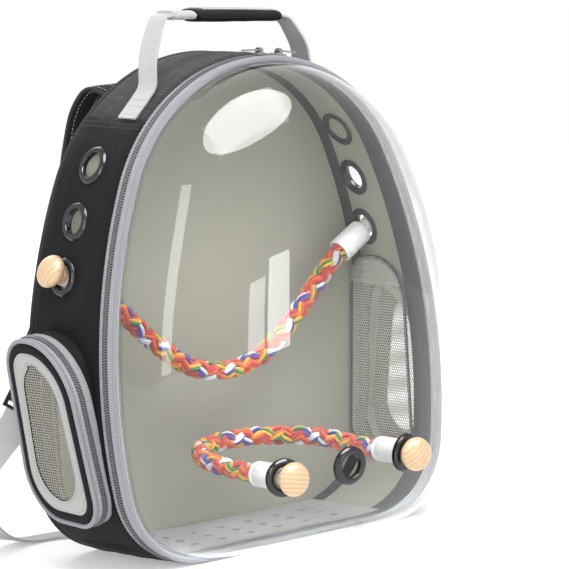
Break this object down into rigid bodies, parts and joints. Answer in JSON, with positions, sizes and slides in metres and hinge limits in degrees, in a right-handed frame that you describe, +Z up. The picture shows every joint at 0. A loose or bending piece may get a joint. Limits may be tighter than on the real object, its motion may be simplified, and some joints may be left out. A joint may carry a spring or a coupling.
{
  "type": "bird travel carrier",
  "caption": "Backpack carrier for a bird: fabric shell with a clear domed door that unzips, rope perches, net side pods, top handle and shoulder straps.",
  "frame": {"origin": "centre of the base's underside, on the surface the bag stands on", "axes": "+Z up, +X to the wearer's right seen from the front, +Y towards the back panel and straps; the clear dome faces -Y"},
  "size_m": [0.4248, 0.3382, 0.459],
  "materials": {
    "black_fabric": "matte",
    "top_weave": "matte",
    "lining": "matte",
    "tray": "matte",
    "binding": "matte",
    "zip_tape": "matte",
    "zip_coil": "satin",
    "piping": "satin",
    "clear_sheet": "gloss",
    "gunmetal": "gloss",
    "net": "matte",
    "pale_border": "matte",
    "webbing": "matte",
    "padded_grip": "matte",
    "rope": "matte",
    "white_plastic": "satin",
    "steel": "satin",
    "wood": "satin",
    "buckle": "satin"
  },
  "bodies": {
    "bag": {"base_panel": "black_fabric", "side_panel_left": "black_fabric", "side_panel_right": "black_fabric", "top_panel": "top_weave", "back_panel": "black_fabric", "back_pad": "black_fabric", "lining_left": "lining", "lining_right": "lining", "lining_top": "lining", "lining_back": "lining", "floor_tray": "tray", "front_binding": "binding", "back_binding": "binding", "back_piping": "binding", "body_zip_tape": "zip_tape", "body_zip_coil": "zip_coil", "side_grommets": "gunmetal", "side_washers": "gunmetal", "inner_net_left": "net", "inner_net_right": "net", "pod_gusset_left": "black_fabric", "pod_gusset_right": "black_fabric", "handle_tabs": "webbing", "upper_rope": "rope", "upper_ferrules": "white_plastic", "upper_bolts": "steel", "strap_pad_left": "black_fabric", "strap_pad_right": "black_fabric", "strap_webbing_left": "webbing", "strap_webbing_right": "webbing", "ladder_locks": "buckle"},
    "front_door": {"dome": "clear_sheet", "door_zip_tape": "zip_tape", "door_zip_coil": "zip_coil", "door_piping": "piping", "door_grommets": "gunmetal", "door_washers": "gunmetal", "lower_rope": "rope", "lower_ferrules": "white_plastic", "lower_bolts": "steel"},
    "pod_door_left": {"pod_face_left": "black_fabric", "pod_net_left": "net", "pod_piping_left": "piping", "pod_tape_left": "zip_tape"},
    "pod_door_right": {"pod_face_right": "black_fabric", "pod_net_right": "net", "pod_piping_right": "piping", "pod_tape_right": "zip_tape"},
    "slider_left": {"zip_slider_left": "steel"},
    "slider_right": {"zip_slider_right": "steel"},
    "pull_left": {"zip_pull_left": "steel"},
    "pull_right": {"zip_pull_right": "steel"},
    "knob_ul": {"knob_upper_left": "wood"},
    "knob_ur": {"knob_upper_right": "wood"},
    "knob_ll": {"knob_lower_left": "wood"},
    "knob_lr": {"knob_lower_right": "wood"},
    "handle": {"handle_webbing": "webbing", "handle_grip": "padded_grip"}
  },
  "joints": [
    {"name": "door_hinge", "type": "hinge", "parent": "bag", "child": "front_door", "pos_m": [0, -0.0541, 0.0006], "axis": [1, 0, 0], "range_deg": [0, 100]},
    {"name": "pod_hinge_left", "type": "hinge", "parent": "bag", "child": "pod_door_left", "pos_m": [-0.17195, 0, 0.03923], "axis": [0, -1, 0], "range_deg": [0, 90]},
    {"name": "pod_hinge_right", "type": "hinge", "parent": "bag", "child": "pod_door_right", "pos_m": [0.17195, 0, 0.03923], "axis": [0, 1, 0], "range_deg": [0, 90]},
    {"name": "slider_left_travel", "type": "hinge", "parent": "bag", "child": "slider_left", "pos_m": [0, -0.0541, 0.27], "axis": [0, 1, 0], "range_deg": [-72, 0]},
    {"name": "slider_right_travel", "type": "hinge", "parent": "bag", "child": "slider_right", "pos_m": [0, -0.0541, 0.27], "axis": [0, 1, 0], "range_deg": [0, 55]},
    {"name": "pull_left_flip", "type": "hinge", "parent": "slider_left", "child": "pull_left", "pos_m": [0.01207, -0.0541, 0.42333], "axis": [0, 1, 0], "range_deg": [0, 100]},
    {"name": "pull_right_flip", "type": "hinge", "parent": "slider_right", "child": "pull_right", "pos_m": [0.0325, -0.0541, 0.42033], "axis": [0, -1, 0], "range_deg": [0, 100]},
    {"name": "knob_ul_turn", "type": "hinge", "parent": "bag", "child": "knob_ul", "pos_m": [-0.163, 0.011, 0.249], "axis": [-0.866, 0, 0.5], "continuous": true},
    {"name": "knob_ur_turn", "type": "hinge", "parent": "bag", "child": "knob_ur", "pos_m": [0.163, 0.011, 0.249], "axis": [0.866, 0, 0.5], "continuous": true},
    {"name": "knob_ll_turn", "type": "hinge", "parent": "front_door", "child": "knob_ll", "pos_m": [-0.065, -0.14821, 0.076], "axis": [0, -1, 0], "continuous": true},
    {"name": "knob_lr_turn", "type": "hinge", "parent": "front_door", "child": "knob_lr", "pos_m": [0.065, -0.14821, 0.076], "axis": [0, -1, 0], "continuous": true},
    {"name": "handle_fold", "type": "hinge", "parent": "bag", "child": "handle", "pos_m": [0, -0.02, 0.41], "axis": [1, 0, 0], "range_deg": [-50, 25]}
  ]
}
